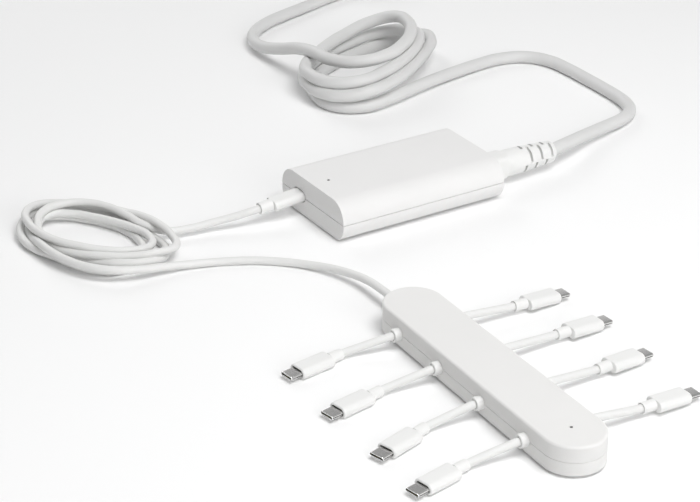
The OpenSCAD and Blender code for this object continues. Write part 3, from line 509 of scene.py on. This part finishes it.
# Each cover's profile runs from the space inside, over its lip, and round its outside.
top_profile = [(2, hub_height - 1.8), (2, hub_seam + 1.35), (0.95, hub_seam + 1.35), (0.95, hub_seam)]
top_profile += [(0.1, hub_seam), (0.03, hub_seam + 0.03), (0, hub_seam + 0.1), (0, hub_seam + 0.3)]
top_profile += [(0, hub_height - 1.8)] + eased + [(2.3, hub_height)]
hub_top = skinned("hub_cover_top", [hub_ring(*p) for p in top_profile], [hub_white])
cut_out(hub_top, [peg("light_core", hub_length / 2 - light_inset, 0, 10, 20, light_hole)])
bottom_profile = [(2, hub_floor + 1.8), (2, hub_seam + 1.2), (1.1, hub_seam + 1.2), (1.1, hub_seam), (0.28, hub_seam)]
bottom_profile += [(0.28, hub_seam - 0.18), (0.09, hub_seam - 0.18), (0.03, hub_seam - 0.21), (0, hub_seam - 0.28)]
bottom_profile += [(0, hub_seam - 0.5), (0, hub_floor + 1.3)]
bottom_profile += [(0, hub_floor + 1.1), (0.1, hub_floor + 0.95), (3, hub_floor + 0.9), (3.6, hub_floor)]
hub_bottom = skinned("hub_cover_bottom", [hub_ring(*p) for p in bottom_profile], [hub_white])
foot_xs = (foot_inset - hub_length / 2, 0, hub_length / 2 - foot_inset)
cut_out(hub_bottom, [peg(f"foot_core_{i}", x, 0, -1, 1.1, foot_hole) for i, x in enumerate(foot_xs)])
for piece, node in ((hub_top, "hub_top_cover"), (hub_bottom, "hub_bottom_cover")):
    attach(piece, "root")
    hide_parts(node)

# ---------------------------------------------------------------------------------------------------
# Cable collars: a soft white moulded ring round each captive cable, with an eased front edge and a
# small gap round the cable. Its flange is held inside the wall. The power lead's collar is larger.


def revolved(name, profile, stuffs, sides=48):
    """A round piece along +Y from (radius, place) pairs in millimetres."""
    turns = [2 * pi * i / sides for i in range(sides)]
    return skinned(name, [[(r * cos(t), y, r * sin(t)) for t in turns] for r, y in profile], stuffs)


def collar_profile(radius, length, neck, flange, bore):
    """From the bore over the ring's front and the groove for the wall to the flange, as (radius, place) pairs."""
    return [
        (0.4, length - 1), (bore, length - 1), (bore, length - 0.08), (bore + 0.08, length),
        (radius - 0.35, length), (radius - 0.12, length - 0.1), (radius, length - 0.35), (radius, -0.05),
        (neck, -0.05), (neck, -2.05), (flange, -2.05), (flange, -3.4), (0.4, -3.4),
    ]


def new_tree(name, sizes):
    """A tree of Geometry Nodes with named inputs: the tree, the inputs, and their sockets' identifiers."""
    tree = bpy.data.node_groups.new(name, "GeometryNodeTree")
    tree.interface.new_socket("Geometry", in_out="INPUT", socket_type="NodeSocketGeometry")
    sockets = {
        label: tree.interface.new_socket(label, in_out="INPUT", socket_type=f"NodeSocket{kind}").identifier
        for label, kind in sizes
    }
    tree.interface.new_socket("Geometry", in_out="OUTPUT", socket_type="NodeSocketGeometry")
    return tree, tree.nodes.new("NodeGroupInput").outputs, sockets


def finished(tree, geometry, stuff):
    """Ends a tree: what it made becomes one real mesh of one material."""
    real = add_node(tree, "GeometryNodeRealizeInstances", [("Geometry", geometry)])
    dressed = add_node(tree, "GeometryNodeSetMaterial", [("Geometry", real.outputs["Geometry"]), ("Material", stuff)])
    add_node(tree, "NodeGroupOutput", [("Geometry", dressed.outputs["Geometry"])])


def worked(piece, tree, sockets, values):
    """Runs a tree on a piece, and takes the result into its mesh."""
    modifier = piece.modifiers.new("worked", "NODES")
    modifier.node_group = tree
    for label, value in values:
        modifier[sockets[label]] = value
    settled(piece)
    piece.data.set_sharp_from_angle(angle=radians(32))


rows, size, row_sockets = new_tree("collar_rows", (
    ("Collars a side", "Int"), ("First place", "Vector"), ("Pitch", "Vector"), ("Stuff", "Material"),
))
across = add_node(rows, "ShaderNodeVectorMath", [(0, size["First place"]), (1, (1, -1, 1))], operation="MULTIPLY")
joined = add_node(rows, "GeometryNodeJoinGeometry")
for start, turn in ((size["First place"], 0), (across.outputs[0], pi)):
    line = add_node(rows, "GeometryNodeMeshLine", [
        ("Count", size["Collars a side"]), ("Start Location", start), ("Offset", size["Pitch"]),
    ])
    put = add_node(rows, "GeometryNodeInstanceOnPoints", [
        ("Points", line.outputs["Mesh"]), ("Instance", size["Geometry"]), ("Rotation", (0, 0, turn)),
    ])
    rows.links.new(put.outputs["Instances"], joined.inputs["Geometry"])
finished(rows, joined.outputs["Geometry"], size["Stuff"])

collars = revolved("cable_collars", collar_profile(3.4, 3.8, 2.9, 3.7, 2.3), [plug_white])
worked(collars, rows, row_sockets, (
    ("Collars a side", 4), ("First place", (port_xs[0] * MM, hub_width / 2 * MM, port_height * MM)),
    ("Pitch", (port_pitch * MM, 0, 0)), ("Stuff", plug_white),
))
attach(collars, "root")
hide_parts(*[f"pigtail_gland_{n}" for n in range(1, 9)])

lead_collar = settled(
    revolved("lead_collar", collar_profile(4, 3, 3.1, 4, 2.4), [plug_white]),
    Matrix.Translation(Vector((-hub_length / 2, 0, lead_height)) * MM) @ Matrix.Rotation(pi / 2, 4, "Z"),
)
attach(lead_collar, "root")
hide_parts("lead_gland")

# ---------------------------------------------------------------------------------------------------
# Power adapter: a flat white brick of two covers with full round long sides and crisp flat ends,
# joined half way up. A recess at one end takes the lead's plug, and the other end has the inlet.
adapter_width, adapter_length, adapter_height, adapter_seam = 65.2, 105.6, 23.6, 11.8
round_top, round_bottom, adapter_wall, recess_gap = 11.6, 10.4, 2.2, 1.3
adapter_light_place, adapter_light_hole, inlet_offset, inlet_height = 10.4, 0.9, 11.6, 11.2
adapter_white = moulded_plastic("adapter_matte_white", (0.81, 0.805, 0.8), 0.42, 0.56, 3000, 0.00004)


def half_section(inset, upper, steps=20):
    """Half of the adapter's end section as (across, up) pairs, one way round, with its flat at the joint."""
    radius = (round_top if upper else round_bottom) - inset
    half, level = adapter_width / 2 - inset, (adapter_height - inset if upper else inset)
    centre = level - radius if upper else level + radius
    way = 1 if upper else -1
    arc = [radians(90 * i / steps) for i in range(steps + 1)]
    right = [(half - radius + radius * cos(t), centre + way * radius * sin(t)) for t in arc]
    return [(half, adapter_seam)] + right + [(-x, z) for x, z in reversed(right)] + [(-half, adapter_seam)]


def adapter_half(name, upper, inset, length, eases):
    """A cover's outside or the space in it, with its end edges eased by (inset, distance) pairs."""
    rings = [
        [(x, end * (length / 2 - back), z) for x, z in half_section(inset + ease, upper)]
        for end in (-1, 1) for ease, back in (eases if end < 0 else reversed(eases))
    ]
    return skinned(name, rings, [adapter_white], crease=28)


def oval_core(name, width, height, place, depth):
    """A flat oval core for a hole in the adapter's end."""
    x, y, z = place
    oval = flat_oval(width, height)
    return skinned(name, [[(x + u, y + d, z + v) for u, v in oval] for d in (-1, depth)], [])


def rounded_box(width, height, round_by, steps=8):
    """A rounded rectangle's points, one way round."""
    points = []
    for quarter in range(4):
        across = (width / 2 - round_by) * (1 if quarter in (0, 3) else -1)
        up = (height / 2 - round_by) * (1 if quarter in (0, 1) else -1)
        for i in range(steps + 1):
            t = pi / 2 * (quarter + i / steps)
            points.append((across + round_by * cos(t), up + round_by * sin(t)))
    return points


crisp = [(0.8, 0), (0.28, 0), (0.09, 0.06), (0, 0.28), (0, 0.6)]
groove = ((32, 52.2, 11.35), (40, 60, 11.35), (40, 60, 13), (32, 52.2, 13))
covers = []
for upper in (True, False):
    word = "top" if upper else "bottom"
    cover = adapter_half(f"adapter_cover_{word}", upper, 0, adapter_length, crisp)
    inlet = [(inlet_offset + u, inlet_height + v) for u, v in rounded_box(13.7, 14.7, 2)]
    cores = [
        adapter_half("inside", upper, adapter_wall, adapter_length - 2 * adapter_wall, [(0, 0)]),
        oval_core("plug_recess", plug_width + recess_gap, plug_thickness + recess_gap, socket_place, 2),
        oval_core("shell_hole", 9.6, 3.8, socket_place, 4),
        skinned("inlet_hole", [[(x, adapter_end + y, z) for x, z in inlet] for y in (-3.2, 1)], []),
    ]
    if upper:
        cores.append(peg("light_core", 0, adapter_light_place - adapter_end, 15, 30, adapter_light_hole))
    else:
        for end in (-1, 1):
            cores.append(skinned("lower_edge", [
                [(-40, end * y, -1), (40, end * y, -1), (40, end * y, 1.1), (-40, end * y, 1.1)] for y in (46, 60)
            ], []))
        cores.append(skinned("joint_groove", [
            [(right * x, back * y, z) for x, y, z in groove] for right, back in ((1, 1), (-1, 1), (-1, -1), (1, -1))
        ], [], closed=True))
    cut_out(cover, cores)
    settled(cover, adapter_frame)
    covers.append(cover)
for piece, node in zip(covers, ("adapter_top_cover", "adapter_bottom_cover")):
    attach(piece, "root")
    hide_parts(node)

# ---------------------------------------------------------------------------------------------------
# Mains connector: an overmoulded white block seated in the adapter's inlet, with a shoulder that runs
# into a tapering strain relief. Staggered slots round the relief let it bend.
slots, size, slot_sockets = new_tree("relief_slots", (
    ("Slot core", "Object"), ("Rows", "Int"), ("First row", "Float"), ("Row pitch", "Float"), ("Stuff", "Material"),
))
core = add_node(slots, "GeometryNodeObjectInfo", [("Object", size["Slot core"])], transform_space="ORIGINAL")
half_rows = add_node(slots, "ShaderNodeMath", [(0, size["Rows"]), (1, 2)], operation="DIVIDE")
double_pitch = add_node(slots, "ShaderNodeMath", [(0, size["Row pitch"]), (1, 2)], operation="MULTIPLY")
offset = add_node(slots, "ShaderNodeCombineXYZ", [("Y", double_pitch.outputs[0])])
joined = add_node(slots, "GeometryNodeJoinGeometry")
for parity, turns in enumerate(((-76, 90), (0, 180))):
    start = add_node(slots, "ShaderNodeMath", [
        (0, size["Row pitch"]), (1, parity), (2, size["First row"]),
    ], operation="MULTIPLY_ADD")
    first = add_node(slots, "ShaderNodeCombineXYZ", [("Y", start.outputs[0])])
    line = add_node(slots, "GeometryNodeMeshLine", [
        ("Count", half_rows.outputs[0]), ("Start Location", first.outputs[0]), ("Offset", offset.outputs[0]),
    ])
    for turn in turns:
        put = add_node(slots, "GeometryNodeInstanceOnPoints", [
            ("Points", line.outputs["Mesh"]), ("Instance", core.outputs["Geometry"]),
            ("Rotation", (0, radians(turn), 0)),
        ])
        slots.links.new(put.outputs["Instances"], joined.inputs["Geometry"])
real = add_node(slots, "GeometryNodeRealizeInstances", [("Geometry", joined.outputs["Geometry"])])
carved = add_node(slots, "GeometryNodeMeshBoolean", [
    ("Mesh 1", size["Geometry"]), ("Mesh 2", real.outputs["Geometry"]),
], operation="DIFFERENCE", solver="EXACT")
finished(slots, carved.outputs["Mesh"], size["Stuff"])

slot_pitch, slot_floor, half_slot = 3.75, 4.3, 0.85
slot_section = ((slot_floor, -half_slot), (9, -half_slot), (9, half_slot), (slot_floor, half_slot))


def slotted(piece, row_count, first):
    """Curved slots through a relief's wall, each nearly a quarter of the way round, in staggered rows."""
    arc = skinned("slot_core", [
        [(r * cos(radians(t)), y, r * sin(radians(t))) for r, y in slot_section] for t in range(0, 85, 7)
    ], [])
    worked(piece, slots, slot_sockets, (
        ("Slot core", arc), ("Rows", row_count), ("First row", first * MM), ("Row pitch", slot_pitch * MM),
        ("Stuff", plug_white),
    ))
    bpy.data.objects.remove(arc)


def boxed(width, height, round_by, y):
    """A rounded rectangle across +Y, at a distance along it."""
    return [(u, y, v) for u, v in rounded_box(width, height, round_by)]


# The rings are of (width, height, corner radius, place), from the end that is hidden.
connector = skinned("mains_connector_block", [
    boxed(*ring) for ring in (
        (10.6, 11.6, 1.2, -11), (11, 12, 1.4, -10.8), (11, 12, 1.4, -0.12), (13.2, 14.2, 2.2, -0.12),
        (13.5, 14.5, 2.4, -0.04), (13.6, 14.6, 2.5, 0.15), (13.6, 14.6, 2.7, 12.2), (13.3, 14.3, 3.2, 13.2),
        (13.3, 14.2, 4.4, 14.1), (14, 14.6, 5.8, 15.2), (15, 15.2, 7, 16.6), (15.6, 15.7, 7.7, 18),
        (15.8, 15.8, 7.9, 19.6), (15.7, 15.7, 7.85, 21), (15, 15, 7.5, 30), (12.8, 12.8, 6.4, 46.4),
        (12.4, 12.4, 6.2, 47.3), (11.4, 11.4, 5.7, 48), (8.6, 8.6, 4.3, 48), (8.6, 8.6, 4.3, 46.8),
    )
], [plug_white])
slotted(connector, 6, 25.65)
inlet_mouth = Vector((inlet_offset, adapter_end, inlet_height))
settled(connector, adapter_frame @ Matrix.Translation(inlet_mouth * MM))
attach(connector, "root")
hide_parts("mains_connector")

# ---------------------------------------------------------------------------------------------------
# Mains plug: a white moulded body with finger grips and a slotted relief, two flat blades and a round
# earth pin in brass. It lies on the stowed coil, out of the camera's view.
plug_back, plug_turn = Vector((-520, 235.6, 21.7)), radians(60)
plug_place = Matrix.Translation(plug_back * MM) @ Matrix.Rotation(plug_turn, 4, "Z")
mains_plug = skinned("mains_plug_moulding", [
    boxed(*ring) for ring in (
        (8.6, 8.6, 4.3, 1), (8.6, 8.6, 4.3, 0), (11.4, 11.4, 5.7, 0), (12, 12, 6, 0.5), (13.6, 13.6, 6.8, 20.4),
        (14.6, 14.6, 7, 21.6), (19, 18, 6.6, 22.6), (23.4, 21.4, 6.8, 23.6), (25.4, 23.4, 6.9, 24.8),
        (26, 24, 7, 26.4), (26, 24, 7, 31), (24.6, 23, 6.8, 33), (24.2, 22.7, 6.8, 36), (24.6, 23, 6.8, 39),
        (26, 24, 7, 41), (26, 24, 7, 45.3), (25.6, 23.6, 6.9, 45.8), (25, 23, 6.7, 46),
    )
], [plug_white])
slotted(mains_plug, 4, 4)
settled(mains_plug, plug_place)
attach(mains_plug, "root")
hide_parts("mains_plug_body")
pin_brass = worked_metal("stamped_brass", (0.78, 0.6, 0.3), 0.22, 0.38, 1100)
blade_spacing, blade_thickness, blade_length, blade_width = 12.7, 1.5, 16.5, 6.3
pins_root, blade_rise, earth_drop = 46, 2.4, 8.2
blades = bpy.data.meshes.new("mains_pins")
made = bmesh.new()
for side in (-1, 1):
    new = bmesh.ops.create_cube(made, size=1)["verts"]
    for v in new:
        x = side * blade_spacing / 2 + v.co.x * blade_thickness
        y = pins_root + blade_length / 2 + v.co.y * blade_length
        v.co = Vector((x, y, blade_rise + v.co.z * blade_width)) * MM
    edges = list({e for v in new for e in v.link_edges})
    bmesh.ops.bevel(made, geom=edges, offset=0.35 * MM, segments=3, affect="EDGES")
earth = revolved("earth", [(0.4, 45.6), (2.4, 45.6), (2.4, 60.8), (2.2, 62), (1.7, 63.1), (1, 63.8), (0.4, 64)], [])
earth.data.transform(Matrix.Translation((0, 0, -earth_drop * MM)))
made.from_mesh(earth.data)
bpy.data.objects.remove(earth)
made.to_mesh(blades)
made.free()
blades.materials.append(pin_brass)
blades.shade_smooth()
blades.set_sharp_from_angle(angle=radians(32))
pins = bpy.data.objects.new("mains_pins", blades)
bpy.context.scene.collection.objects.link(pins)
settled(pins, plug_place)
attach(pins, "root")
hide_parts("mains_plug_pins")

# ---------------------------------------------------------------------------------------------------
# Stowed coil's tie: a grey woven hook-and-loop strap, which is wound round both turns of the stowed
# cord and closed on itself.
strap_grey, tree, shader = new_stuff("woven_strap")
place = add_node(tree, "ShaderNodeTexCoord").outputs["Object"]
weave = add_node(tree, "ShaderNodeTexVoronoi", [("Vector", place), ("Scale", 1800)]).outputs["Distance"]
shade = add_node(tree, "ShaderNodeMixRGB", [
    ("Fac", weave), ("Color1", (0.1, 0.1, 0.105, 1)), ("Color2", (0.2, 0.2, 0.21, 1)),
])
relief = add_node(tree, "ShaderNodeBump", [("Height", weave), ("Distance", 0.0002)])
set_inputs(tree, shader, [
    ("Roughness", 0.9), ("Sheen Weight", 0.3), ("Base Color", shade.outputs["Color"]),
    ("Normal", relief.outputs["Normal"]),
])
coil_radius, tie_height, tie_turn = 42, 4.75, radians(190)
wound = rounded_box(17.4, 9.6, 3.4, 6)
tie = skinned("coil_tie", [
    [(coil_radius + u * across, w, tie_height + v * up) for u, v in wound]
    for across, up, w in (
        (0.93, 0.9, -6.8), (0.985, 0.975, -7), (1, 1, -6.7), (1, 1, 6.7), (0.985, 0.975, 7), (0.93, 0.9, 6.8),
    )
], [strap_grey], closed=True)
settled(tie, Matrix.Translation(stowed_centre * MM) @ Matrix.Rotation(tie_turn, 4, "Z"))
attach(tie, "root")
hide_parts("stowed_tie")

# ---------------------------------------------------------------------------------------------------
# Screws, feet, light pipes, boards and parts inside: these are the source's own solids, and each gets
# the finish of the real one.
foot_rubber = moulded_plastic("foot_rubber", (0.16, 0.16, 0.165), 0.75, 0.9, 1500, 0.00008)
light_clear = moulded_plastic("frosted_light_pipe", (0.015, 0.017, 0.016), 0.4, 0.5, 4000, 0.00002)
board_mask = moulded_plastic("solder_mask", (0.02, 0.12, 0.05), 0.3, 0.45, 700, 0.00004)
ferrite = moulded_plastic("sintered_ferrite", (0.055, 0.055, 0.06), 0.55, 0.75, 2500, 0.00006)
can_metal = worked_metal("drawn_aluminium", (0.76, 0.77, 0.78), 0.25, 0.4, 1300)
screw_metal = worked_metal("zinc_plated_steel", (0.62, 0.63, 0.65), 0.25, 0.42, 1600)
inlet_black = moulded_plastic("inlet_black", (0.025, 0.025, 0.027), 0.4, 0.55, 3000, 0.00004)
finishes = {
    "hub_feet": foot_rubber, "hub_light_pipe": light_clear, "adapter_light_pipe": light_clear,
    "hub_circuit_board": board_mask, "adapter_board": board_mask, "hub_inductors": ferrite,
    "adapter_transformer": ferrite, "hub_capacitors": can_metal, "adapter_capacitors": can_metal,
    "hub_screws": screw_metal, "adapter_socket": screw_metal, "adapter_inlet": inlet_black,
}
for name, stuff in finishes.items():
    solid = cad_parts[name]
    solid.data.materials.clear()
    solid.data.materials.append(stuff)

# ---------------------------------------------------------------------------------------------------
# The studio: a white sweep under everything, large softboxes to the right, overhead and to the left,
# and weak fill from all round. Its walls are white, and its ceiling is darker.
reach = 9
floor_mesh = bpy.data.meshes.new("studio_floor")
floor_mesh.from_pydata(
    [(-reach, -reach, 0), (reach, -reach, 0), (reach, reach, 0), (-reach, reach, 0)], [], [(0, 1, 2, 3)]
)
floor = bpy.data.objects.new("studio_floor", floor_mesh)
bpy.context.scene.collection.objects.link(floor)


def when_seen(tree):
    """1 for the rays that show the background: the camera's, and those that metal and glass send on."""
    rays = add_node(tree, "ShaderNodeLightPath").outputs
    either = add_node(tree, "ShaderNodeMath", [
        (0, rays["Is Camera Ray"]), (1, rays["Is Glossy Ray"]),
    ], operation="MAXIMUM")
    return add_node(tree, "ShaderNodeMath", [
        (0, either.outputs[0]), (1, rays["Is Transmission Ray"]),
    ], operation="MAXIMUM").outputs[0]


paper_white, paper_lift, fill = 0.92, 0.035, 0.34
paper = bpy.data.materials.new("paper_sweep")
paper.use_nodes = True
tree = paper.node_tree
tree.nodes.clear()
amount = add_node(tree, "ShaderNodeMath", [(0, when_seen(tree)), (1, paper_lift)], operation="MULTIPLY")
matte = add_node(tree, "ShaderNodeBsdfDiffuse", [("Color", (paper_white, paper_white, paper_white, 1))])
lift = add_node(tree, "ShaderNodeEmission", [("Strength", amount.outputs[0])])
both = add_node(tree, "ShaderNodeAddShader", [(0, matte.outputs[0]), (1, lift.outputs[0])])
add_node(tree, "ShaderNodeOutputMaterial", [("Surface", both.outputs[0])])
floor_mesh.materials.append(paper)

world = bpy.data.worlds.new("studio")
bpy.context.scene.world = world
world.use_nodes = True
tree = world.node_tree
way = add_node(tree, "ShaderNodeTexCoord").outputs["Generated"]
height = add_node(tree, "ShaderNodeSeparateXYZ", [(0, way)]).outputs["Z"]
ceiling = add_node(tree, "ShaderNodeMapRange", [
    ("Value", height), ("From Min", 0.26), ("From Max", 0.44), ("To Min", 1), ("To Max", fill),
])
level = add_node(tree, "ShaderNodeMapRange", [
    ("Value", when_seen(tree)), ("To Min", fill), ("To Max", ceiling.outputs["Result"]),
])
set_inputs(tree, tree.nodes["Background"], [("Color", (1, 1, 1, 1)), ("Strength", level.outputs["Result"])])


def softbox(name, place, aim, size, watts):
    """A round diffused lamp, turned from its place to what it lights."""
    data = bpy.data.lights.new(name, "AREA")
    data.shape = "DISK"
    data.size = size
    data.energy = watts
    lamp = bpy.data.objects.new(name, data)
    bpy.context.scene.collection.objects.link(lamp)
    lamp.location = place
    lamp.rotation_euler = (Vector(place) - Vector(aim)).to_track_quat("Z", "Y").to_euler()


softbox("right", (2.74, 0.4, 1.22), (-0.15, 0.03, 0), 1.6, 25.2)
softbox("overhead", (0.4, 0.1, 1.12), (-0.05, 0.03, 0), 0.7, 9.1)
softbox("left", (-1.7, 0.06, 0.9), (-0.15, 0.03, 0), 0.9, 6.9)
bpy.context.scene.view_settings.view_transform = "Standard"
